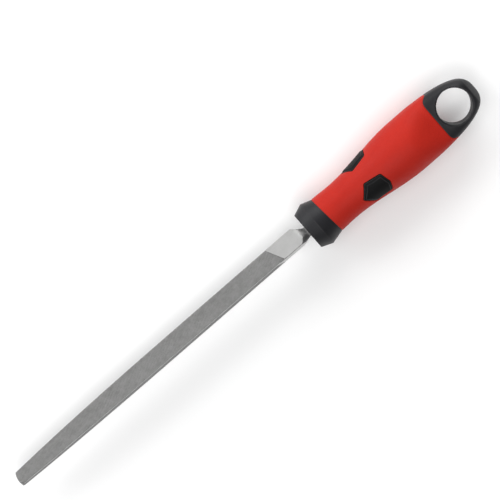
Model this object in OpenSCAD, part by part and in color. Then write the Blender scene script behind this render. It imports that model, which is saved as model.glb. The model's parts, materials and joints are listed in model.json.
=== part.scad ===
// Triangular (three-square) hand file with a moulded two-colour handle.
// X runs along the tool with the tip at +X, and the hang hole's axis is vertical.

/* [File blade] */
// Length of the blade from its tip to the start of the heel shoulder
file_len = 200; // [150:5:250]
// Distance from the blade's axis to each of its three edges
file_r = 7.4; // [6.5:0.1:8.2]
// How much closer the edges come to the axis at the tip
tip_shrink = 2.2; // [1:0.1:3]
// Length over which the blade tapers towards the tip
taper_len = 121; // [80:1:140]
// Width of the flat along each edge
edge_flat = 0.4; // [0.2:0.1:0.8]
// Radius of the domed tip
tip_dome = 9; // [8:0.1:20]
// Turn of the blade in the handle, away from in line with the pads
blade_roll = -13.5; // [-15:0.5:15]

/* [Tang] */
// Length of tang that shows between the shoulder and the collar
tang_show = 6.5; // [5:0.1:9]
// Side of the square tang at the collar
tang_side = 4.7; // [4:0.1:5]
// Turn of the tang from the blade's upper side
tang_roll = -5; // [-10:0.5:10]
// How softly the shoulder runs into the tang
tang_melt = 1.6; // [0.4:0.1:2.4]
// Side of the square tang at its far end
tang_tip = 2.6; // [2:0.1:3.5]
// Length of tang inside the handle
tang_seat = 56; // [40:1:58]
// Clearance between each side of the tang and its socket
tang_fit = 0.05; // [0.03:0.01:0.1]

/* [Handle body] */
// Length of the handle
handle_len = 119.2; // [110:0.1:130]
// Radius at the neck, where the first finger sits
neck_r = 11.45; // [10:0.05:12.5]
// Distance of the neck behind the collar's front face
neck_at = 24.4; // [20:0.1:28]
// Largest radius, in the palm
belly_r = 15.9; // [14:0.05:17]
// Distance of the largest radius behind the collar's front face
belly_at = 71.4; // [66:0.1:76]
// Thickness of the soft sleeve over the rigid core
skin = 2.6; // [2:0.1:3]

/* [Collar] */
// Radius of the collar's front face
collar_front_r = 11.1; // [10:0.1:12]
// Radius of the collar's rim
collar_rim_r = 13.8; // [12.5:0.1:14]
// Distance of the rim behind the front face
collar_rim_at = 6.4; // [4:0.1:8]
// Radius of the collar where it meets the sleeve
collar_rear_r = 11.7; // [11.5:0.1:12.2]
// Length of the collar on the axis
collar_len = 13.6; // [11:0.1:14]
// Slant of the joint between collar and sleeve
collar_rake = 5; // [0:0.5:6]
// Thickness of the collar's front wall
collar_wall = 3; // [2:0.5:4]

/* [Pads] */
// Distance of each pad's front point behind the collar's front face
pad_at = 33.8; // [32:0.1:38]
// Length of a pad
pad_len = 17.6; // [14:0.1:18]
// Width of a pad at its widest
pad_w = 14.2; // [12:0.1:15]
// Height of a pad above the sleeve
pad_proud = 0.4; // [0.2:0.1:0.8]
// Width of the groove around a pad
pad_gap = 0.2; // [0.15:0.05:0.4]

/* [End loop] */
// Distance of the loop's front edge behind the collar's front face
loop_at = 91.6; // [90:0.1:93]
// How far that edge turns back at the sides
loop_bow = 4.8; // [0:0.1:6]
// Half of the loop's thickness
loop_half_t = 8.5; // [7:0.1:9]
// Diameter of the hang hole
hang_d = 20; // [14:0.5:20]
// Distance of the hang hole behind the collar's front face
hang_at = 104.2; // [103:0.1:105]
// Chamfer around the hang hole
hang_chamfer = 1; // [0.5:0.1:1.5]

/* [Hidden] */
$fn = 96;

// The parts are drawn with the collar's front face at x = 0 and the tool's axis at z = 0.
tip_x = tang_show + file_len;
centre_x = (handle_len - tip_x) / 2;

// The soft sleeve starts a little proud of the collar
sleeve_step = 0.1;
// The rigid core's nose fills the collar, and its shoulder is just inside the sleeve
nose_r = 8;
nose_end = collar_len + 1.1;
// The loop's root reaches into the sleeve and plugs into the core
root_at = 86;
root_overlap = 1.5;
spigot_r = 4;
spigot_len = 12;
spigot_gap = 1;
socket_gap = 2;
// The handle flattens between the belly and the hang hole
flat_end = 94.4;
// The loop's front edge is straight across the flats and turns back near this half-width
bow_reach = 15;
bow_power = 12;
// Rise of the flare that chamfers the hang hole
flare_rise = 3;

// Each pad's angle from +Z towards +Y; nominally a blade edge lies in line with each pad
pad_angles = [30, 150, 270];
face_angle = -30;
pad_shoulder = 5.8;
pad_rear_point = 1.6;
pad_rear_w = 13.2;
// Height above the axis at which the pads' columns start
pad_floor = 4;

// Reaches past everything it is used to cut
far = 40;

red = [0.80, 0.13, 0.10];
black = [0.10, 0.10, 0.11];
steel = [0.62, 0.62, 0.61];

function mix(a, b, t) = a + (b - a) * t;
function ease(t) = (1 - cos(180 * max(0, min(1, t)))) / 2;
function tail(u) = pow(max(0, 1 - pow(max(0, u), 2.5)), 1 / 3);

// Radius of the handle at a distance h behind the collar's front face
function body_r(h) =
    h < neck_at
    ? mix(collar_rear_r + sleeve_step, neck_r, ease((h - collar_len) / (neck_at - collar_len)))
    : h < belly_at
    ? mix(neck_r, belly_r, ease((h - neck_at) / (belly_at - neck_at)))
    : belly_r * tail((h - belly_at) / (handle_len - belly_at));

function core_r(h) = h < nose_end ? nose_r : body_r(h) - skin;

// Half of the handle's thickness, measured along the hang hole
function half_t(h) = mix(belly_r, loop_half_t, ease((h - belly_at) / (flat_end - belly_at)));

// Evenly spaced distances after a, and distances that crowd together towards b
function spread(a, b, n) = [for (k = [1 : n]) mix(a, b, k / n)];
function crowded(a, b, n) = [for (k = [1 : n]) mix(a, b, sin(90 * k / n))];
neck_steps = 10;
palm_steps = 16;
rear_steps = 22;
body_steps = concat([0], spread(0, neck_at, neck_steps), spread(neck_at, belly_at, palm_steps),
                    crowded(belly_at, handle_len, rear_steps));
flat_steps = 12;
taper_steps = 14;

// Turns a profile of [radius, distance behind the collar's front face] about the tool's axis
module lathe(points) {
    rotate([0, -90, 0])
        rotate_extrude()
            polygon(points);
}

// Points a shape that faces +Z towards an angle from +Z towards +Y
module facing(angle) {
    rotate([-angle, 0, 0])
        children();
}

// Extrudes a side view, drawn in X and Z, across the tool
module across(width) {
    rotate([90, 0, 0])
        linear_extrude(width, center = true)
            children();
}

// The handle's outer form, stood off by a distance
module body_form(stand_off) {
    intersection() {
        lathe(concat([[0, 0]],
                     [for (h = body_steps) [max(0, body_r(h) + stand_off), h]],
                     [[0, handle_len]]));
        flattened(stand_off);
    }
}

// The form of the rigid core under the sleeve
module core_form() {
    steps = concat([nose_end], [for (h = body_steps) if (h > nose_end && h < hang_at) h]);
    intersection() {
        lathe(concat([[0, 0], [nose_r, 0], [nose_r, nose_end]],
                     [for (h = steps) [body_r(h) - skin, h]],
                     [[0, steps[len(steps) - 1]]]));
        flattened(-skin);
    }
}

// Everything between the two flat-going sides of the handle
module flattened(stand_off) {
    steps = concat([belly_at], spread(belly_at, flat_end, flat_steps));
    upper = [for (h = steps) [-h, half_t(h) + stand_off]];
    lower = [for (k = [len(steps) - 1 : -1 : 0]) [-steps[k], -half_t(steps[k]) - stand_off]];
    across(far)
        polygon(concat([[far, far]], [[-belly_at, far]], upper,
                       [[-handle_len - 1, loop_half_t + stand_off]],
                       [[-handle_len - 1, -loop_half_t - stand_off]], lower,
                       [[-belly_at, -far]], [[far, -far]]));
}

// Everything in front of the slanted joint between collar and sleeve
module ahead_of_joint() {
    slant = far * tan(collar_rake);
    linear_extrude(far, center = true)
        polygon([[far, -far], [far, far], [-collar_len - slant, far], [-collar_len + slant, -far]]);
}

// Everything behind the joint between sleeve and end loop, which turns back at the sides
module behind_bow() {
    side = ceil(belly_r);
    widths = [for (y = [-side : side]) y];
    edge = [for (y = widths) [-loop_at - loop_bow * pow(abs(y) / bow_reach, bow_power), y]];
    linear_extrude(far, center = true)
        polygon(concat([[-handle_len - far, -side]], edge, [[-handle_len - far, side]]));
}

// Everything between two distances behind the collar's front face
module slab(from, to) {
    translate([-to, -far / 2, -far / 2])
        cube([to - from, far, far]);
}

// Distance from the blade's axis to an edge and to a side, d behind the tip
function edge_r(d) = file_r - tip_shrink * pow(max(0, 1 - d / taper_len), 2.7);
function side_r(d) = (edge_r(d) + edge_flat * cos(30)) / 2;

// Everything below a side, or below an edge's flat, that faces +Z
module below(is_edge) {
    steps = concat([0], spread(0, taper_len, taper_steps), [tip_x]);
    across(far)
        polygon(concat([[tip_x, -far / 2]],
                       [for (d = steps) [tip_x - d, is_edge ? edge_r(d) : side_r(d)]],
                       [[0, -far / 2]]));
}

// What lies inside three sides, or three edge flats, that are 120 degrees apart
module three_fold(first, is_edge) {
    intersection_for (turn = [0, 120, 240])
        facing(first + turn)
            below(is_edge);
}

// Radius of the 45 degree shoulder at x, melting into the tang's half-width
function shoulder_r(x) =
    let (cone = x + file_r - tang_show, neck = tang_side / 2)
    (cone + neck + sqrt(pow(cone - neck, 2) + pow(tang_melt, 2))) / 2;

// The blade's turned outline: shoulder, plain length, domed tip
module blade_turned() {
    dome_reach = 60;
    wide = tip_dome * sin(dome_reach);
    root = [for (x = concat([0.5], spread(0.5, tang_show, flat_steps))) [shoulder_r(x), -x]];
    dome = [for (a = [dome_reach : -5 : 0]) [tip_dome * sin(a), tip_dome * (1 - cos(a)) - tip_x]];
    lathe(concat([[0, root[0][1]]], root, [[wide, -tang_show - wide]], dome));
}

// The square tang, which narrows to its far end, grown by a gap and lengthened by a reach
module tapered_square(gap, reach) {
    slope = (tang_side - tang_tip) / 2 / tang_seat;
    end = -tang_seat - reach;
    root = tang_show;
    half_end = tang_side / 2 + slope * end + gap;
    half_root = tang_side / 2 + slope * root + gap;
    intersection_for (turn = [0, 90])
        facing(tang_roll + turn)
            across(far)
                polygon([[end, -half_end], [root, -half_root], [root, half_root], [end, half_end]]);
}

module file_blade() {
    color(steel)
        facing(face_angle + blade_roll) {
            intersection() {
                blade_turned();
                three_fold(0, false);
                three_fold(60, true);
            }
            tapered_square(0, 0);
        }
}

// The tapered socket that the tang is pushed into
module tang_socket() {
    facing(face_angle + blade_roll)
        tapered_square(tang_fit, socket_gap);
}

// The point at a distance from p on the way to q
function towards(p, q, distance) = p + (q - p) * distance / norm(q - p);

module front_collar() {
    bevel = 0.5;
    face = [collar_front_r, bevel];
    rim = [collar_rim_r, collar_rim_at];
    rear = [collar_rear_r, collar_len];
    past = collar_len + collar_wall;
    color(black)
        difference() {
            intersection() {
                lathe([[0, 0], [collar_front_r - bevel, 0], face, towards(rim, face, bevel),
                       towards(rim, rear, bevel), rear, [collar_rear_r, past], [0, past]]);
                ahead_of_joint();
            }
            lathe([[0, collar_wall], [nose_r, collar_wall], [nose_r, far], [0, far]]);
            tang_socket();
        }
}

module handle_core() {
    color(black)
        difference() {
            intersection() {
                core_form();
                slab(collar_wall, root_at);
            }
            tang_socket();
            lathe([[0, root_at - spigot_len], [spigot_r, root_at - spigot_len],
                   [spigot_r, root_at + spigot_gap], [0, root_at + spigot_gap]]);
        }
}

// The outline of a pad: a front point, two shoulders, two rear corners and a blunt rear point
pad_outline =
    let (shoulder = -pad_at - pad_shoulder, rear = -pad_at - pad_len + pad_rear_point)
    [[-pad_at, 0], [shoulder, pad_w / 2], [rear, pad_rear_w / 2], [-pad_at - pad_len, 0],
     [rear, -pad_rear_w / 2], [shoulder, -pad_w / 2]];

// The outward direction of the side from p to q, and an outline grown by a margin all round
function outward(p, q) = [q.y - p.y, p.x - q.x] / norm(q - p);
function grown(corners, margin) =
    let (n = len(corners))
    [for (k = [0 : n - 1])
        let (a = outward(corners[(k + n - 1) % n], corners[k]),
             b = outward(corners[k], corners[(k + 1) % n]))
        corners[k] + (a + b) * margin / (1 + a * b)];

module pad_column(angle, grow) {
    facing(angle)
        translate([0, 0, pad_floor])
            linear_extrude(far)
                polygon(grown(pad_outline, grow));
}

module grip_pad(angle) {
    color(black)
        difference() {
            intersection() {
                body_form(pad_proud);
                pad_column(angle, 0);
            }
            core_form();
        }
}

module grip_sleeve() {
    color(red)
        difference() {
            body_form(0);
            core_form();
            ahead_of_joint();
            behind_bow();
            for (angle = pad_angles)
                pad_column(angle, pad_gap);
        }
}

module end_loop() {
    spigot_end = root_at - spigot_len + spigot_gap;
    color(black)
        difference() {
            union() {
                intersection() {
                    body_form(0);
                    behind_bow();
                }
                intersection() {
                    core_form();
                    slab(root_at, loop_at + root_overlap);
                }
                lathe([[0, spigot_end], [spigot_r, spigot_end],
                       [spigot_r, root_at + root_overlap], [0, root_at + root_overlap]]);
            }
            hang_hole();
        }
}

module hang_hole() {
    translate([-hang_at, 0, 0]) {
        cylinder(h = far, d = hang_d, center = true);
        for (side = [0, 180])
            rotate([side, 0, 0])
                translate([0, 0, loop_half_t - hang_chamfer])
                    cylinder(h = flare_rise, d1 = hang_d, d2 = hang_d + 2 * flare_rise);
    }
}

module place() {
    translate([centre_x, 0, belly_r])
        children();
}

place() file_blade();
place() front_collar();
place() handle_core();
place() grip_sleeve();
place() grip_pad(pad_angles[0]);  // grip_pad_1
place() grip_pad(pad_angles[1]);  // grip_pad_2
place() grip_pad(pad_angles[2]);  // grip_pad_3
place() end_loop();
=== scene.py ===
import json
import math

import bmesh
import bpy
import numpy as np
from mathutils import Matrix, Vector


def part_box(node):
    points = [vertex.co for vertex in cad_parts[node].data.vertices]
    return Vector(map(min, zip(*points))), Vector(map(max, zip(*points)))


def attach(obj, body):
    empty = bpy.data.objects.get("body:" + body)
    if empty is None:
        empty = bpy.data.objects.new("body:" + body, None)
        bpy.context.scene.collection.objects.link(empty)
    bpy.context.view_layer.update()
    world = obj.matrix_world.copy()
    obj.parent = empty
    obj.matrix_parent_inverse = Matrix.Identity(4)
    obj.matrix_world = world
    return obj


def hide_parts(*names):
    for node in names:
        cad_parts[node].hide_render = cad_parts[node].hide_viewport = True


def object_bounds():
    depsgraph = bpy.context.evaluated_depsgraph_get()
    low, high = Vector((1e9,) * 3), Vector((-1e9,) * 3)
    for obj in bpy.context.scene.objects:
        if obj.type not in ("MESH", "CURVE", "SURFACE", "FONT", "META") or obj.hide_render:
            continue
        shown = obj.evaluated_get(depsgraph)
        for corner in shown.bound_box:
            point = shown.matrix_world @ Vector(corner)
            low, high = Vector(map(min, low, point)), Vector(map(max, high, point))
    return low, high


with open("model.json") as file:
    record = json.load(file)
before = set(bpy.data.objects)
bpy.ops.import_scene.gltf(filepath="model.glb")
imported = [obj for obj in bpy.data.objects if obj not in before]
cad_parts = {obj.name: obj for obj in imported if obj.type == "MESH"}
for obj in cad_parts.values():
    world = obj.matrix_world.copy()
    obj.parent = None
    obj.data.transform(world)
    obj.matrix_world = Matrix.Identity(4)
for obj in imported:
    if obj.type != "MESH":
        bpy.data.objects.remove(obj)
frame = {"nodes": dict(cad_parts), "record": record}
cad_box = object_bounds()

# Lengths below are in millimetres in the tool's own frame: x is 0 at the collar's front face
# and grows towards the tip, and the tool's axis is y = z = 0. "Behind" is a distance towards -x.
MM = 0.001
collar_low, collar_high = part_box("front_collar")
loop_low, loop_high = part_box("end_loop")
blade_low, blade_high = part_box("file_blade")
sleeve_low, sleeve_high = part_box("grip_sleeve")
ORIGIN = Vector((collar_high.x, 0, (sleeve_low.z + sleeve_high.z) / 2))

TIP_X = (blade_high.x - collar_high.x) / MM
HANDLE_LEN = (collar_high.x - loop_low.x) / MM
SPIGOT_END = (collar_high.x - loop_high.x) / MM
BELLY_R = (sleeve_high.z - sleeve_low.z) / 2 / MM
COLLAR_RIM_R = (collar_high.z - collar_low.z) / 2 / MM
TANG_END = (collar_high.x - blade_low.x) / MM
hang = next(m for m in frame["record"]["mounts"] if m["name"] == "hang_hole")
HANG_AT = (ORIGIN.x - hang["pos_m"][0]) / MM
HANG_R = hang["dims"]["r_mm"]

# Blade. In its formulas d is a distance behind the tip, and HEEL_D one that the taper doesn't reach.
TANG_SHOW = 6.5
FILE_R = 7.4
TIP_SHRINK = 2.2
TAPER_LEN = 121
TAPER_POWER = 2.7
HEEL_D = 200
EDGE_FLAT = 0.4
TIP_DOME = 9
TIP_RIM_D = 1.0
FACE_TURN = math.radians(-43.5)
TANG_SIDE = 4.7
TANG_TIP = 2.6
TANG_TURN = FACE_TURN - math.radians(5)
TANG_SHARPNESS = 12
TANG_MELT = 1.0
TANG_FILLET = 9
NECK_END = 0.4
RAMP_FROM = 0.5
RAMP_TO = 4.4
RAMP_MELT = 0.2

# Cut of the blade. A row is a valley and a crest, and COLUMNS is the number of steps across a side.
CUT_START = 21.8
ROW_LEAN = -0.42
PITCH = 0.66
CREST = 0.72
TOOTH_DEPTH = 0.22
EDGE_CUT = 0.3
OVERCUT_PITCH = 0.84
OVERCUT_LEAN = 0.95
OVERCUT_SHARE = 0.5
COLUMNS = 52

# Handle
COLLAR_FRONT_R = 11.1
COLLAR_RIM_AT = 6.4
COLLAR_LEN = 13.6
COLLAR_REAR_R = 11.7
COLLAR_RAKE = math.tan(math.radians(5))
COLLAR_WALL = 3
NOSE_R = 8
TANG_HOLE_GAP = 0.06
TANG_HOLE_LIP = 0.3
SLEEVE_STEP = 0.1
NECK_R = 11.45
NECK_AT = 24.4
BELLY_AT = 71.4
TAIL_POWER = 2.5
TAIL_ROUND = 1 / 3
SKIN = 2.6
LOOP_AT = 91.6
LOOP_BOW = 4.8
BOW_REACH = 15
BOW_POWER = 12
LOOP_HALF_T = 8.5
FLAT_END = 94.4
BOXINESS = 1.1
END_ROUND = 10
END_ROUND_POWER = 2.2
ROOT_AT = 86
SPIGOT_R = 4

# Pads
PAD_ANGLES = [30, 150, 270]
PAD_AT = 33.8
PAD_LEN = 17.6
PAD_W = 14.2
PAD_REAR_W = 13.2
PAD_SHOULDER = 5.8
PAD_REAR_POINT = 1.6
PAD_CORNER_R = 1.1
PAD_FLOOR = -2.5
PAD_TOP = 0.33
WINDOW_GAP = 0.25


# ---------------------------------------------------------------- shape formulas

def mix(a, b, t):
    return a + (b - a) * t


def ease(t):
    return (1 - np.cos(np.pi * np.clip(t, 0, 1))) / 2


def body_r(h):
    """Half-width of the handle, h behind the collar's front face."""
    h = np.asarray(h, float)
    front = mix(COLLAR_REAR_R + SLEEVE_STEP, NECK_R, ease((h - COLLAR_LEN) / (NECK_AT - COLLAR_LEN)))
    palm = mix(NECK_R, BELLY_R, ease((h - NECK_AT) / (BELLY_AT - NECK_AT)))
    back = np.clip((h - BELLY_AT) / (HANDLE_LEN - BELLY_AT), 0, 1)
    tail = BELLY_R * (1 - back ** TAIL_POWER) ** TAIL_ROUND
    return np.where(h < NECK_AT, front, np.where(h < BELLY_AT, palm, tail))


def half_t(h):
    """Half-thickness of the handle along the hang hole, rounded off at the rear end."""
    h = np.asarray(h, float)
    flat = mix(BELLY_R, LOOP_HALF_T, ease((h - BELLY_AT) / (FLAT_END - BELLY_AT)))
    round_from = HANDLE_LEN - END_ROUND
    back = np.clip((h - round_from) / (HANDLE_LEN - round_from), 0, 1)
    rounded = np.where(h > round_from, np.sqrt(1 - back ** END_ROUND_POWER), 1)
    return np.minimum(body_r(h), flat) * rounded


def squareness(h):
    """Exponent of the handle's section: 2 is an ellipse, more is boxier."""
    return 2 + BOXINESS * ease((np.asarray(h, float) - BELLY_AT) / (FLAT_END - BELLY_AT))


def section_r(h, angle):
    """Radius of the handle's section at an angle from +Z towards +Y."""
    n = squareness(h)
    wide = np.maximum(body_r(h), 1e-4)
    deep = np.maximum(half_t(h), 1e-4)
    return ((np.abs(np.sin(angle)) / wide) ** n + (np.abs(np.cos(angle)) / deep) ** n) ** (-1 / n)


def skin_point(h, angle, off=0.0):
    """A point on the handle's surface, stood off by off."""
    r = np.maximum(section_r(h, angle) + off, 0.0)
    h, angle, r = np.broadcast_arrays(h, angle, r)
    return np.stack([-h, r * np.sin(angle), r * np.cos(angle)], -1)


def edge_r(d):
    """Distance of the blade's edges from its axis, before they are flattened."""
    return FILE_R - TIP_SHRINK * np.maximum(0, 1 - d / TAPER_LEN) ** TAPER_POWER


def side_r(d):
    """Distance of the blade's sides from its axis."""
    return (edge_r(d) + EDGE_FLAT * math.cos(math.radians(30))) / 2


def half_side(d):
    """Half the width of a blade's side, between its two edge flats."""
    return side_r(d) * math.sqrt(3) - EDGE_FLAT


def joint_front(angle):
    """How far behind the collar's front face the collar ends, at an angle."""
    return COLLAR_LEN + COLLAR_REAR_R * np.sin(angle) * COLLAR_RAKE


def joint_rear(angle):
    """How far back the sleeve ends and the end loop starts, at an angle."""
    h = np.full_like(angle, LOOP_AT)
    settling_steps = 20
    for _ in range(settling_steps):
        across = section_r(h, angle) * np.sin(angle) / BOW_REACH
        h = mix(h, LOOP_AT + LOOP_BOW * np.abs(across) ** BOW_POWER, 0.5)
    return h


# ---------------------------------------------------------------- mesh helpers

# Folds over this many degrees are shaded as a sharp line
SMOOTH_ANGLE = 35


def turn_of(count):
    """Angles evenly spaced over a whole turn."""
    return np.linspace(0, 2 * np.pi, count, endpoint=False)


class Shell:
    """Collects points and faces of one closed mesh."""

    def __init__(self):
        self.points = []
        self.faces = []
        self.slots = []
        self.count = 0

    def add(self, points):
        points = np.asarray(points, float).reshape(-1, 3)
        first = self.count
        self.points.append(points)
        self.count += len(points)
        return list(range(first, self.count))

    def face(self, corners, slot=0):
        """Adds a face, without corners that repeat and without faces that have collapsed."""
        kept = [c for k, c in enumerate(corners) if c != corners[k - 1]]
        if len(set(kept)) == len(kept) > 2:
            self.faces.append(kept)
            self.slots.append(slot)

    def band(self, a, b, slot=0):
        """Joins two closed rings of as many points each."""
        for k in range(len(a)):
            self.face([a[k - 1], a[k], b[k], b[k - 1]], slot)

    def cap(self, ring, centre, slot=0):
        """Closes a ring with a fan of triangles around a centre."""
        tip = self.add([centre])[0]
        for k in range(len(ring)):
            self.face([ring[k - 1], ring[k], tip], slot)

    def rings(self, rings, slot=0, loop=False):
        """Joins rings in turn, and the last back to the first for a loop."""
        made = [self.add(r) for r in rings]
        for a, b in zip(made, made[1:]):
            self.band(a, b, slot)
        if loop:
            self.band(made[-1], made[0], slot)
        return made

    def build(self, name, materials, smooth_angle=SMOOTH_ANGLE):
        """Makes the object in the row frame, in metres, with its faces turned outwards."""
        points = np.concatenate(self.points) * MM + np.array(ORIGIN)
        mesh = bpy.data.meshes.new(name)
        mesh.from_pydata(points.tolist(), [], self.faces)
        mesh.polygons.foreach_set("material_index", self.slots)
        for material in materials:
            mesh.materials.append(material)
        piece = bpy.data.objects.new(name, mesh)
        bpy.context.scene.collection.objects.link(piece)
        tidy_mesh(mesh)
        shade(mesh, smooth_angle)
        return piece


def tidy_mesh(mesh):
    """Drops loose points and turns every face outwards."""
    work = bmesh.new()
    work.from_mesh(mesh)
    loose = [v for v in work.verts if not v.link_faces]
    bmesh.ops.delete(work, geom=loose, context="VERTS")
    bmesh.ops.recalc_face_normals(work, faces=work.faces)
    work.to_mesh(mesh)
    work.free()


def shade(mesh, angle):
    """Shades smooth, with a sharp line at each fold over an angle."""
    work = bmesh.new()
    work.from_mesh(mesh)
    limit = math.radians(angle)
    for face in work.faces:
        face.smooth = True
    for edge in work.edges:
        edge.smooth = edge.is_manifold and edge.calc_face_angle(0) < limit
    work.to_mesh(mesh)
    work.free()


def mark_edges(mesh):
    """Stores how sharply the surface turns outwards at each point: 0 is flat, 1 an edge."""
    work = bmesh.new()
    work.from_mesh(mesh)
    gentle, sharp = 500, 3000
    marks = np.zeros(len(work.verts))
    for edge in work.edges:
        if len(edge.link_faces) == 2:
            a, b = edge.link_faces
            gap = (a.calc_center_median() - b.calc_center_median()).length
            turn = edge.calc_face_angle_signed(0) / max(gap, 1e-5)
            for vert in edge.verts:
                marks[vert.index] = max(marks[vert.index], turn)
    work.free()
    marks = np.clip((marks - gentle) / (sharp - gentle), 0, 1)
    mesh.attributes.new("outer_edge", "FLOAT", "POINT").data.foreach_set("value", marks)


def carve(piece, cutters):
    """Cuts solids out of a piece, then removes the solids and leaves a clean mesh."""
    for cutter in cutters:
        cut = piece.modifiers.new("cut", "BOOLEAN")
        cut.operation = "DIFFERENCE"
        cut.solver = "EXACT"
        cut.object = cutter
    bpy.context.view_layer.update()
    graph = bpy.context.evaluated_depsgraph_get()
    made = bpy.data.meshes.new_from_object(piece.evaluated_get(graph))
    piece.modifiers.clear()
    old = piece.data
    name = old.name
    piece.data = made
    bpy.data.meshes.remove(old)
    made.name = name
    for cutter in cutters:
        cutter_mesh = cutter.data
        bpy.data.objects.remove(cutter)
        bpy.data.meshes.remove(cutter_mesh)
    clean_cut(made)
    shade(made, SMOOTH_ANGLE)


def clean_cut(made):
    """Drops tiny faces, and points in the middle of an edge, which fold when faces become triangles."""
    work = bmesh.new()
    work.from_mesh(made)
    bmesh.ops.dissolve_degenerate(work, dist=2e-6, edges=work.edges)
    idle = [v for v in work.verts if len(v.link_edges) == 2]
    bmesh.ops.dissolve_verts(work, verts=idle)
    bmesh.ops.recalc_face_normals(work, faces=work.faces)
    work.to_mesh(made)
    work.free()


def place(piece, body, slot, *nodes):
    """Puts a finished piece on its body, in place of its CAD nodes."""
    mark_edges(piece.data)
    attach(piece, body)
    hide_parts(*nodes)


def rounded_path(points, radii, steps=7):
    """An open line whose inner corners are rounded with arcs of the given radii."""
    points = [np.array(p, float) for p in points]
    path = [points[0]]
    for before, corner, after, radius in zip(points, points[1:], points[2:], radii):
        a = (before - corner) / np.linalg.norm(before - corner)
        b = (after - corner) / np.linalg.norm(after - corner)
        half = math.acos(np.clip(a @ b, -1, 1)) / 2
        reach = radius / math.tan(half)
        middle = corner + (a + b) / np.linalg.norm(a + b) * radius / math.sin(half)
        start, end = corner + a * reach - middle, corner + b * reach - middle
        sweep = math.pi - 2 * half
        for k in range(steps + 1):
            t = k / steps
            turned = start * math.sin((1 - t) * sweep) + end * math.sin(t * sweep)
            path.append(middle + turned / math.sin(sweep))
    path.append(points[-1])
    return np.array(path)


# ---------------------------------------------------------------- material helpers

class Paint:
    """Builds one procedural material on top of a Principled shader."""

    def __init__(self, name, **fixed):
        self.material = bpy.data.materials.new(name)
        self.material.use_nodes = True
        self.tree = self.material.node_tree
        self.shader = self.tree.nodes["Principled BSDF"]
        self.place = self.tree.nodes.new("ShaderNodeTexCoord").outputs["Object"]
        for socket, value in fixed.items():
            self.shader.inputs[socket.replace("_", " ")].default_value = value

    def node(self, kind, links=(), **fields):
        made = self.tree.nodes.new(kind)
        for field, value in fields.items():
            setattr(made, field, value)
        for socket, value in dict(links).items():
            self.feed(made.inputs[socket], value)
        return made

    def feed(self, socket, value):
        if isinstance(value, bpy.types.NodeSocket):
            self.tree.links.new(value, socket)
        else:
            socket.default_value = value

    def stretched(self, x, y, z):
        return self.node("ShaderNodeMapping", {"Vector": self.place, "Scale": (x, y, z)}).outputs[0]

    def noise(self, scale, detail=3.0, rough=0.55, where=None):
        links = {"Vector": where or self.place, "Scale": scale, "Detail": detail, "Roughness": rough}
        return self.node("ShaderNodeTexNoise", links).outputs["Fac"]

    def cells(self, scale):
        links = {"Vector": self.place, "Scale": scale}
        return self.node("ShaderNodeTexVoronoi", links).outputs["Distance"]

    def remap(self, value, low, high, to_low=0.0, to_high=1.0):
        links = {"Value": value, "From Min": low, "From Max": high, "To Min": to_low, "To Max": to_high}
        return self.node("ShaderNodeMapRange", links).outputs["Result"]

    def math(self, operation, a, b):
        made = self.node("ShaderNodeMath", operation=operation)
        self.feed(made.inputs[0], a)
        self.feed(made.inputs[1], b)
        return made.outputs[0]

    def blend(self, share, a, b):
        made = self.node("ShaderNodeMix", data_type="RGBA")
        self.feed(made.inputs["Factor"], share)
        for socket, value in ((made.inputs[6], a), (made.inputs[7], b)):
            self.feed(socket, value if isinstance(value, bpy.types.NodeSocket) else (*value, 1))
        return made.outputs[2]

    def edges(self, most):
        """Where the surface has an outer edge, broken up by noise, from 0 up to most: the mask for paler
        edges, partly rubbed wear and partly a painted highlight.
        """
        mark = self.node("ShaderNodeAttribute", attribute_name="outer_edge").outputs["Fac"]
        patches = self.remap(self.noise(350, 3), 0.3, 0.65, 0.35, most)
        return self.math("MULTIPLY", mark, patches)

    def colour(self, value):
        self.feed(self.shader.inputs["Base Color"], value)

    def rough(self, value):
        self.feed(self.shader.inputs["Roughness"], value)

    def bump(self, height, distance, strength, under=None):
        links = {"Height": height, "Distance": distance, "Strength": strength}
        if under is not None:
            links["Normal"] = under
        return self.node("ShaderNodeBump", links).outputs[0]

    def normal(self, value):
        self.feed(self.shader.inputs["Normal"], value)


def cut_steel():
    """The cut part of the blade: matt grey hardened steel, paler on the teeth's crests and at its edges,
    partly as rubbed wear and partly as a painted highlight.
    """
    paint = Paint("cut_file_steel", Metallic=1.0)
    mottle = paint.noise(160, 4)
    streaks = paint.noise(60, 4, 0.6, paint.stretched(0.25, 6, 6))
    fleck = paint.noise(800, 2)
    base = paint.blend(paint.remap(mottle, 0.35, 0.65), (0.168, 0.168, 0.166), (0.222, 0.222, 0.220))
    base = paint.blend(paint.remap(streaks, 0.4, 0.65, 0.0, 0.5), base, (0.145, 0.144, 0.142))
    base = paint.blend(paint.remap(fleck, 0.45, 0.7, 0.0, 0.35), base, (0.120, 0.120, 0.118))
    # Paler on tooth crests and outer edges: partly rubbed wear, partly a painted highlight
    paint.colour(paint.blend(paint.edges(0.9), base, (0.31, 0.31, 0.306)))
    paint.rough(paint.remap(mottle, 0.3, 0.7, 0.42, 0.58))
    grit = paint.noise(2600, 2)
    paint.normal(paint.bump(grit, 0.00003, 0.5))
    return paint.material


def ground_steel():
    """The smooth heel: bright satin steel with fine grinding lines across it."""
    paint = Paint("ground_heel_steel", Metallic=1.0)
    lines = paint.noise(1500, 4, 0.65, paint.stretched(5, 0.15, 0.15))
    cloud = paint.noise(110, 3)
    base = paint.blend(paint.remap(cloud, 0.35, 0.65), (0.44, 0.44, 0.435), (0.50, 0.50, 0.495))
    paint.colour(paint.blend(paint.remap(lines, 0.4, 0.7, 0.0, 0.15), base, (0.37, 0.37, 0.365)))
    paint.rough(paint.remap(lines, 0.3, 0.7, 0.30, 0.44))
    paint.normal(paint.bump(lines, 0.00002, 0.5))
    return paint.material


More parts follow.
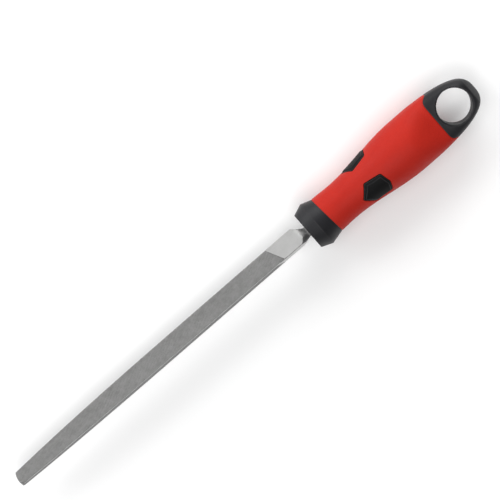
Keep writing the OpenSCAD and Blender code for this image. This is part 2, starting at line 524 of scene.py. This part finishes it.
def forged_steel():
    """The tang and shoulder: darker steel with faint hammer scale."""
    paint = Paint("forged_tang_steel", Metallic=0.85)
    scale = paint.noise(420, 5, 0.6)
    drawn = paint.noise(500, 3, 0.6, paint.stretched(0.2, 2, 2))
    base = paint.blend(paint.remap(scale, 0.4, 0.65), (0.37, 0.368, 0.364), (0.49, 0.488, 0.482))
    paint.colour(paint.blend(paint.remap(drawn, 0.45, 0.7, 0.0, 0.3), base, (0.30, 0.297, 0.29)))
    paint.rough(paint.remap(scale, 0.3, 0.7, 0.42, 0.58))
    paint.normal(paint.bump(scale, 0.00005, 0.4, paint.bump(drawn, 0.00003, 0.4)))
    return paint.material


def soft_red():
    """Soft-touch red rubber: fine leathery grain, paler at its outer edges, partly as rubbed wear and
    partly as a painted highlight.
    """
    paint = Paint("soft_red_rubber", Specular_IOR_Level=0.2)
    cloud = paint.noise(45, 4, 0.6)
    fleck = paint.noise(700, 3)
    base = paint.blend(paint.remap(cloud, 0.35, 0.68), (0.375, 0.0095, 0.003), (0.413, 0.012, 0.004))
    base = paint.blend(paint.remap(fleck, 0.45, 0.75, 0.0, 0.25), base, (0.335, 0.0075, 0.0027))
    # Paler outer edges: partly rubbed wear, partly a painted highlight
    paint.colour(paint.blend(paint.edges(0.7), base, (0.49, 0.028, 0.014)))
    paint.rough(paint.remap(cloud, 0.35, 0.7, 0.50, 0.63))
    grain = paint.cells(1500)
    dents = paint.noise(420, 3, 0.6)
    paint.normal(paint.bump(grain, 0.00009, 0.55, paint.bump(dents, 0.00012, 0.35)))
    return paint.material


def hard_black():
    """Moulded black plastic with a fine spark-eroded texture, and paler edges that are partly rubbed wear
    and partly a painted highlight.
    """
    paint = Paint("moulded_black_plastic", Specular_IOR_Level=0.33)
    cloud = paint.noise(70, 4, 0.6)
    spark = paint.noise(1700, 3, 0.7)
    base = paint.blend(paint.remap(cloud, 0.35, 0.65), (0.0030, 0.0031, 0.0048), (0.0052, 0.0053, 0.0078))
    # Paler outer edges: partly rubbed wear, partly a painted highlight
    paint.colour(paint.blend(paint.edges(0.8), base, (0.035, 0.035, 0.037)))
    paint.rough(paint.remap(cloud, 0.3, 0.7, 0.42, 0.56))
    paint.normal(paint.bump(spark, 0.00008, 0.5))
    return paint.material


def soft_black():
    """The pads' soft black rubber."""
    paint = Paint("soft_black_rubber", Specular_IOR_Level=0.13)
    cloud = paint.noise(120, 4, 0.6)
    grain = paint.cells(1700)
    base = paint.blend(paint.remap(cloud, 0.35, 0.65), (0.0014, 0.0014, 0.0016), (0.0030, 0.0030, 0.0033))
    # Pale line along the pad's bevelled border: a painted highlight, partly also rubbed wear
    paint.colour(paint.blend(paint.edges(0.9), base, (0.052, 0.051, 0.053)))
    paint.rough(paint.remap(cloud, 0.3, 0.7, 0.46, 0.6))
    paint.normal(paint.bump(grain, 0.00008, 0.5))
    return paint.material


# ---------------------------------------------------------------- blade

# Rows of points on the slope down to the tang, and on the smooth heel ahead of it
RAMP_ROWS = 9
HEEL_STEPS = np.linspace(0, 1, 7)[1:]


def side_frame(side):
    """The outward and crosswise directions of a blade's side."""
    angle = FACE_TURN + side * 2 * math.pi / 3
    outward = np.array([0, math.sin(angle), math.cos(angle)])
    across = np.array([0, math.cos(angle), -math.sin(angle)])
    return outward, across


def ramp_height(x, side):
    """Height of a side above the axis, where the heel slopes down to the tang."""
    low = tang_r(0, FACE_TURN + side * 2 * math.pi / 3)
    return mix(low, side_r(HEEL_D), (x - RAMP_FROM) / (RAMP_TO - RAMP_FROM))


def lower_of(a, b, melt):
    """The smaller of two lengths, with a soft changeover."""
    return (a + b - np.sqrt((a - b) ** 2 + melt ** 2)) / 2


def higher_of(a, b, melt):
    """The larger of two lengths, with a soft changeover."""
    return (a + b + np.sqrt((a - b) ** 2 + melt ** 2)) / 2


def tooth_rows():
    """Distances of the rows of the cut from the collar, and how high each stands: 0 valley, 1 crest."""
    past_tip = 3
    teeth = int((TIP_X + past_tip - CUT_START) / PITCH)
    phases = [(k, phase) for k in range(teeth) for phase in (0, CREST)]
    return np.array([(CUT_START + (k + phase) * PITCH, float(phase > 0)) for k, phase in phases])


def cut_depth(crest, x, y):
    """How far below the tooth tips a point of the cut lies."""
    groove = np.abs(((x - OVERCUT_LEAN * y) / OVERCUT_PITCH) % 1 - 0.5) * 2
    notch = OVERCUT_SHARE * np.clip(1 - groove * 1.5, 0, 1)
    return TOOTH_DEPTH * np.where(crest > 0, notch, 1.0)


def side_column(side, share, rows):
    """A line of points from the shoulder to the tip: x, place across the side, height over the axis."""
    y_heel = half_side(TIP_X - TANG_SHOW) * share
    shoulder_x = TANG_SHOW - FILE_R + math.hypot(side_r(HEEL_D), y_heel)
    first_x = CUT_START + ROW_LEAN * y_heel - 0.1
    ramp_end = max(shoulder_x + 0.25, RAMP_TO + 0.3)
    ramp_x = np.linspace(shoulder_x, ramp_end, RAMP_ROWS)
    smooth_x = np.concatenate([ramp_x, mix(ramp_end, first_x, HEEL_STEPS)])
    smooth_n = lower_of(side_r(TIP_X - smooth_x), ramp_height(smooth_x, side), RAMP_MELT)
    y_tip, n_tip = half_side(TIP_RIM_D) * share, side_r(TIP_RIM_D)
    tip_x = TIP_X - TIP_DOME + math.sqrt(TIP_DOME ** 2 - y_tip ** 2 - n_tip ** 2)
    row_x = rows[:, 0]
    cut_x = row_x + ROW_LEAN * half_side(TIP_X - row_x) * share
    kept = cut_x < tip_x - 0.15
    d = TIP_X - cut_x[kept]
    y = half_side(d) * share
    at_edge = abs(share) == 1
    depth = cut_depth(rows[kept, 1], cut_x[kept], y) * (EDGE_CUT if at_edge else 1)
    xs = np.concatenate([smooth_x, cut_x[kept], [tip_x]])
    ys = np.concatenate([half_side(TIP_X - smooth_x) * share, y, [y_tip]])
    ns = np.concatenate([smooth_n, side_r(d) - depth, [n_tip]])
    return xs, ys, ns


def blade_side(shell, side):
    """Adds one side of the blade and returns its point numbers, one column after another.

    Its faces use the blade's three materials: 0 the cut, 1 the ground heel, 2 the forged shoulder.
    """
    outward, across = side_frame(side)
    rows = tooth_rows()
    smooth_rows = RAMP_ROWS + len(HEEL_STEPS)
    total = smooth_rows + len(rows) + 1
    columns = []
    for share in np.linspace(-1, 1, COLUMNS + 1):
        xs, ys, ns = side_column(side, share, rows)
        points = xs[:, None] * np.array([1, 0, 0]) + ys[:, None] * across + ns[:, None] * outward
        made = shell.add(points)
        columns.append((made, made + [made[-1]] * (total - len(made))))
    for (_, a), (_, b) in zip(columns, columns[1:]):
        for k in range(len(a) - 1):
            slot = 2 if k < RAMP_ROWS - 2 else 1 if k < smooth_rows - 1 else 0
            shell.face([a[k], a[k + 1], b[k + 1], b[k]], slot)
    return [made for made, _ in columns]


def zip_edge(shell, a, b, x_of):
    """Adds an edge flat between two lines of points that don't pair up, satin along the cut."""
    i = j = 0
    while i < len(a) - 1 or j < len(b) - 1:
        slot = 1 if x_of[a[i]] > CUT_START else 0
        if j == len(b) - 1 or (i < len(a) - 1 and x_of[a[i + 1]] <= x_of[b[j + 1]]):
            shell.face([a[i], a[i + 1], b[j]], slot)
            i += 1
        else:
            shell.face([a[i], b[j + 1], b[j]], slot)
            j += 1


def tang_r(x, angle):
    """Radius of the tapered square tang in a direction; it swells towards the shoulder."""
    half = TANG_SIDE / 2 + (TANG_SIDE - TANG_TIP) / 2 / TANG_END * np.minimum(x, 0)
    half = half + np.maximum(x, 0) ** 2 / 2 / TANG_FILLET
    turned = angle - TANG_TURN
    n = TANG_SHARPNESS
    return half * (np.abs(np.cos(turned)) ** n + np.abs(np.sin(turned)) ** n) ** (-1 / n)


def domed_tip(shell, rim, points):
    """Closes the blade's front with a shallow dome."""
    ring = points[rim]
    last = rim
    for size in (0.97, 0.86, 0.66, 0.4, 0.18):
        inner = ring.copy()
        inner[:, 1:] *= size
        inner[:, 0] = TIP_X - TIP_DOME + np.sqrt(TIP_DOME ** 2 - (inner[:, 1:] ** 2).sum(1))
        made = shell.add(inner)
        shell.band(last, made)
        last = made
    shell.cap(last, (TIP_X, 0, 0))


def neck_and_tang(shell, rim, points):
    """Runs the shoulder smoothly into the square tang, and closes the tang's end."""
    ring = points[rim]
    angle = np.arctan2(ring[:, 1], ring[:, 2])
    last = rim
    for share in np.linspace(0, 1, 19)[1:]:
        x = mix(ring[:, 0], NECK_END, share)
        melt = TANG_MELT * min(1, share * 3, (1 - share) * 4)
        r = higher_of(FILE_R - TANG_SHOW + x, tang_r(x, angle), melt)
        for side in range(3):
            facing = np.maximum(np.cos(angle - FACE_TURN - side * 2 * math.pi / 3), 0.1)
            r = lower_of(r, ramp_height(x, side) / facing, RAMP_MELT)
        made = shell.add(np.stack([x, r * np.sin(angle), r * np.cos(angle)], -1))
        shell.band(last, made, 2)
        last = made
    for x in np.linspace(NECK_END, -TANG_END, 12)[1:]:
        r = tang_r(x, angle)
        made = shell.add(np.stack([np.full_like(r, x), r * np.sin(angle), r * np.cos(angle)], -1))
        shell.band(last, made, 2)
        last = made
    shell.cap(last, (-TANG_END, 0, 0), 2)


def blade():
    """The blade and its tang: three cut sides, their edge flats, the tip and the tang."""
    shell = Shell()
    sides = [blade_side(shell, side) for side in range(3)]
    points = np.concatenate(shell.points)
    for side in range(3):
        zip_edge(shell, sides[side][-1], sides[(side + 1) % 3][0], points[:, 0])
    domed_tip(shell, [column[-1] for side in sides for column in side], points)
    neck_and_tang(shell, [column[0] for side in sides for column in side], points)
    piece = shell.build("toothed_blade", [cut_steel(), ground_steel(), forged_steel()], 28)
    place(piece, "blade", "file_steel", "file_blade")


# ---------------------------------------------------------------- handle

# How the edge of a joint is rounded: distance from the joint, depth below the surface
JOINT_LIP = [(0.0, 0.42), (0.04, 0.24), (0.14, 0.09), (0.32, 0.015), (0.6, 0.0)]
SOFT_LIP = [(0.0, 0.6), (0.05, 0.4), (0.18, 0.22), (0.4, 0.09), (0.7, 0.025), (1.05, 0.0)]
AROUND = 176


def sleeve():
    """The red sleeve: a tube with rounded ends and a window for each pad."""
    angle = turn_of(AROUND)
    front, rear = joint_front(angle), joint_rear(angle)
    rings = [skin_point(front, angle, -SKIN)]
    rings += [skin_point(front + away, angle, -low) for away, low in JOINT_LIP]
    start, end = front + 1.1, rear - 1.5
    outside, inside = np.linspace(0, 1, 128), np.linspace(0, 1, 24)[:-1]
    rings += [skin_point(mix(start, end, share), angle) for share in outside]
    rings += [skin_point(rear - away, angle, -low) for away, low in reversed(SOFT_LIP)]
    rings += [skin_point(mix(rear, front, share), angle, -SKIN) for share in inside]
    shell = Shell()
    shell.rings(rings, loop=True)
    piece = shell.build("red_grip_sleeve", [soft_red()])
    carve(piece, [window_cutter(angle) for angle in PAD_ANGLES])
    place(piece, "handle", "red_soft_grip", "grip_sleeve")


def pad_line(grow):
    """The pad's rounded outline, grown by a margin, as distances behind the collar and across."""
    shoulder, rear = PAD_AT + PAD_SHOULDER, PAD_AT + PAD_LEN - PAD_REAR_POINT
    corners = np.array([
        (PAD_AT, 0), (shoulder, PAD_W / 2), (rear, PAD_REAR_W / 2),
        (PAD_AT + PAD_LEN, 0), (rear, -PAD_REAR_W / 2), (shoulder, -PAD_W / 2),
    ])
    sides = np.roll(corners, -1, 0) - corners
    outward = np.stack([-sides[:, 1], sides[:, 0]], -1)
    outward /= np.linalg.norm(outward, axis=1)[:, None]
    if ((corners - corners.mean(0)) * outward).sum() < 0:
        outward = -outward
    line = []
    corner_steps, spacing = 7, 0.6
    for k in range(len(corners)):
        a, b = outward[k - 1], outward[k]
        middle = corners[k] - (a + b) / (1 + a @ b) * PAD_CORNER_R
        for step in range(corner_steps + 1):
            t = step / corner_steps
            direction = mix(a, b, t)
            line.append(middle + direction / np.linalg.norm(direction) * (PAD_CORNER_R + grow))
    return fill_in(np.array(line), spacing)


def fill_in(line, spacing):
    """Adds points along the long straight stretches of a closed line."""
    dense = []
    for a, b in zip(line, np.roll(line, -1, 0)):
        count = max(1, round(np.linalg.norm(b - a) / spacing))
        dense += [mix(a, b, k / count) for k in range(count)]
    return np.array(dense)


def on_handle(line, off, angle):
    """Puts a flat outline on the handle, seen square on from an angle in degrees."""
    r = body_r(line[:, 0]) + off
    y = line[:, 1]
    z = np.sqrt(r ** 2 - y ** 2)
    sin, cos = math.sin(math.radians(angle)), math.cos(math.radians(angle))
    return np.stack([-line[:, 0], z * sin + y * cos, z * cos - y * sin], -1)


def window_cutter(angle):
    """The hole a pad sits in, with a rounded lip.

    Its outer cap peaks well above the sleeve, because a flat one would dip below the sleeve's curve and
    leave a flake of it behind.
    """
    base = pad_line(WINDOW_GAP)
    centre = base.mean(0)
    peak = 4
    levels = [(-3.6, 0.0), (-0.5, 0.0), (-0.22, 0.08), (-0.07, 0.22), (0.01, 0.45), (0.6, 0.7)]
    rings = []
    for off, grow in levels:
        away = base - centre
        line = base + away / np.linalg.norm(away, axis=1)[:, None] * grow
        rings.append(on_handle(line, off, angle))
    shell = Shell()
    made = shell.rings(rings)
    shell.cap(made[0], rings[0].mean(0))
    shell.cap(made[-1], on_handle(centre[None], peak, angle)[0])
    return shell.build("window_cutter", [])


def pad(number, angle, material):
    """A black pad: straight sides, a rounded and bevelled border, and a slightly crowned middle."""
    base = pad_line(0.0)
    centre = base.mean(0)
    away = base - centre
    outwards = away / np.linalg.norm(away, axis=1)[:, None]
    levels = [
        (PAD_FLOOR, 0.0), (-0.4, 0.0), (-0.16, 0.04), (-0.05, 0.12), (0.0, 0.28), (0.03, 0.95),
        (0.07, 1.04), (0.28, 1.24), (0.34, 1.33), (0.37, 1.5), (0.35, 1.8),
    ]
    rings = [on_handle(centre + away * size, PAD_FLOOR, angle) for size in (0.1, 0.3, 0.5, 0.7, 0.9)]
    rings += [on_handle(base - outwards * inset, off, angle) for off, inset in levels]
    inner = base - outwards * levels[-1][1]
    for size in (0.85, 0.65, 0.45, 0.25, 0.1):
        rings.append(on_handle(centre + (inner - centre) * size, PAD_TOP, angle))
    shell = Shell()
    made = shell.rings(rings)
    shell.cap(made[0], on_handle(centre[None], PAD_FLOOR, angle)[0])
    shell.cap(made[-1], on_handle(centre[None], PAD_TOP, angle)[0])
    piece = shell.build(f"black_pad_{number}", [material], 50)
    place(piece, "handle", "black_soft_grip", f"grip_pad_{number}")


def collar(material):
    """The flared collar: front face with a square tang hole, rounded rim, slanted joint, hollow behind."""
    angle = turn_of(AROUND)
    lost = 0.12  # what rounding a corner takes off its radius
    corners = [
        (5.5, 0), (COLLAR_FRONT_R + lost, 0), (COLLAR_RIM_R + lost, COLLAR_RIM_AT),
        (COLLAR_REAR_R, COLLAR_LEN), (9.5, COLLAR_LEN),
    ]
    outer = rounded_path(corners, [0.5, 0.8, 0.35])
    inner = [(NOSE_R, COLLAR_LEN), (NOSE_R, COLLAR_WALL), (4.5, COLLAR_WALL)]
    hole = tang_r(0, angle) + TANG_HOLE_GAP
    square_rings = [(hole, COLLAR_WALL), (hole, TANG_HOLE_LIP), (hole + TANG_HOLE_LIP, 0.0)]
    slant_room = COLLAR_LEN - COLLAR_RIM_AT - 1
    rings = []
    for r, h in [*outer, *inner, *square_rings]:
        r = np.broadcast_to(r, angle.shape)
        grown = ease((h - COLLAR_RIM_AT - 1) / slant_room)
        slant = r * np.sin(angle) * COLLAR_RAKE * grown
        rings.append(np.stack([-(h + slant), r * np.sin(angle), r * np.cos(angle)], -1))
    shell = Shell()
    shell.rings(rings, loop=True)
    piece = shell.build("flared_collar", [material])
    place(piece, "handle", "hard_black_plastic", "front_collar")


def surface_z(h, y):
    """Height of the handle's surface above its middle plane."""
    n = squareness(h)
    share = np.clip(np.abs(y) / body_r(h), 0, 1)
    return half_t(h) * (1 - share ** n) ** (1 / n)


def hang_cutter():
    """The hang hole, with a rounded lip that follows the surface on both sides.

    Each level is a rise over the handle's surface and how far the hole has opened there.
    """
    angle = turn_of(112)
    cap_z = 18
    levels = [
        (-2.4, 0.0), (-1.3, 0.0), (-0.75, 0.1), (-0.35, 0.32),
        (-0.1, 0.68), (0.0, 1.1), (0.3, 1.4), (6, 1.5),
    ]
    rings = []
    for side in (1, -1):
        half = []
        for rise, grow in levels:
            r = HANG_R + grow
            h, y = HANG_AT - r * np.cos(angle), r * np.sin(angle)
            half.append(np.stack([-h, y, side * (surface_z(h, y) + rise)], -1))
        rings = rings + half if side < 0 else half[::-1]
    shell = Shell()
    made = shell.rings(rings)
    shell.cap(made[0], (-HANG_AT, 0, cap_z))
    shell.cap(made[-1], (-HANG_AT, 0, -cap_z))
    return shell.build("hang_cutter", [])


def end_loop(material):
    """The black end: a spigot in the core, a root inside the sleeve, a flat body, and the hang hole."""
    angle = turn_of(AROUND)
    start = joint_rear(angle)
    spigot_y, spigot_z = SPIGOT_R * np.sin(angle), SPIGOT_R * np.cos(angle)
    rings = [np.stack([np.full_like(angle, -h), spigot_y, spigot_z], -1) for h in (SPIGOT_END, ROOT_AT)]
    rings += [skin_point(mix(ROOT_AT, start, share), angle, -SKIN) for share in (0, 0.5, 1)]
    rings += [skin_point(start + away, angle, -low) for away, low in JOINT_LIP]
    first = start + 1.0
    steps = 90
    for k in range(steps):
        share = math.sin(math.pi / 2 * k / steps)
        rings.append(skin_point(mix(first, HANDLE_LEN, share), angle))
    shell = Shell()
    made = shell.rings(rings)
    shell.cap(made[0], (-SPIGOT_END, 0, 0))
    shell.cap(made[-1], (-HANDLE_LEN, 0, 0))
    piece = shell.build("hang_loop_end", [material])
    carve(piece, [hang_cutter()])
    place(piece, "handle", "hard_black_plastic", "end_loop")


# ---------------------------------------------------------------- studio

def floor():
    """A wide pale floor under the tool."""
    paint = Paint("pale_floor", Specular_IOR_Level=0.2)
    tone = paint.noise(6, 3)
    paint.colour(paint.blend(paint.remap(tone, 0.3, 0.7), (0.94, 0.94, 0.94), (0.96, 0.96, 0.96)))
    paint.rough(paint.remap(tone, 0.3, 0.7, 0.75, 0.85))
    bpy.ops.mesh.primitive_plane_add(size=12, location=(0, 0, cad_box[0].z))
    plane = bpy.context.object
    plane.name = "floor"
    plane.data.materials.append(paint.material)


def lamp(name, direction, distance, size, power):
    """A square soft light that looks at the middle of the tool."""
    light = bpy.data.lights.new(name, "AREA")
    light.shape = "SQUARE"
    light.size = size
    light.energy = power
    made = bpy.data.objects.new(name, light)
    bpy.context.scene.collection.objects.link(made)
    direction = Vector(direction).normalized()
    middle = (cad_box[0] + cad_box[1]) / 2
    made.location = middle + direction * distance
    made.visible_camera = False
    made.rotation_mode = "QUATERNION"
    made.rotation_quaternion = direction.to_track_quat("Z", "Y")


def sky(strength):
    """Even white light from all round."""
    world = bpy.data.worlds.new("studio")
    bpy.context.scene.world = world
    world.use_nodes = True
    background = world.node_tree.nodes["Background"]
    background.inputs["Color"].default_value = (1, 1, 1, 1)
    background.inputs["Strength"].default_value = strength


def camera():
    """Looks down on the tool with its tip at the lower left, through a long lens.

    The camera leans from straight overhead, and rise is how steeply the tool climbs in the picture.
    Width is what the picture spans at the tool, in metres.
    """
    lean = math.radians(8)
    rise = math.radians(41.0)
    width = 0.2703
    aim_along, aim_across = 0.03015, -0.01295
    lens, sensor = 1500, 36
    back = Vector((0, -math.sin(lean), math.cos(lean)))
    across = Vector((0, math.cos(lean), math.sin(lean)))
    rearward = Vector((-1, 0, 0))
    right = rearward * math.cos(rise) + across * math.sin(rise)
    up = rearward * math.sin(rise) - across * math.cos(rise)
    target = ORIGIN + Vector((aim_along, 0, 0)) + across * aim_across
    data = bpy.data.cameras.new("camera")
    data.lens, data.sensor_width = lens, sensor
    data.clip_end = 50
    made = bpy.data.objects.new("camera", data)
    bpy.context.scene.collection.objects.link(made)
    made.matrix_world = Matrix((
        (right.x, up.x, back.x, 0), (right.y, up.y, back.y, 0), (right.z, up.z, back.z, 0), (0, 0, 0, 1),
    ))
    made.location = target + back * (width * lens / sensor)
    bpy.context.scene.camera = made


black_plastic = hard_black()
pad_rubber = soft_black()
camera()
blade()
collar(black_plastic)
sleeve()
for number, angle in enumerate(PAD_ANGLES, 1):
    pad(number, angle, pad_rubber)
end_loop(black_plastic)
core = frame["nodes"]["handle_core"]
core.data.materials.clear()
core.data.materials.append(black_plastic)
floor()
sky(0.4)
lamp("key_left", (1.3, -1.9, 0.9), 3.5, 2.2, 70)
lamp("key_right", (-1.3, -1.9, 0.9), 3.5, 2.2, 70)
lamp("top", (0.3, 0.1, 1.0), 3.5, 3.6, 76)
bpy.context.scene.view_settings.view_transform = "Standard"
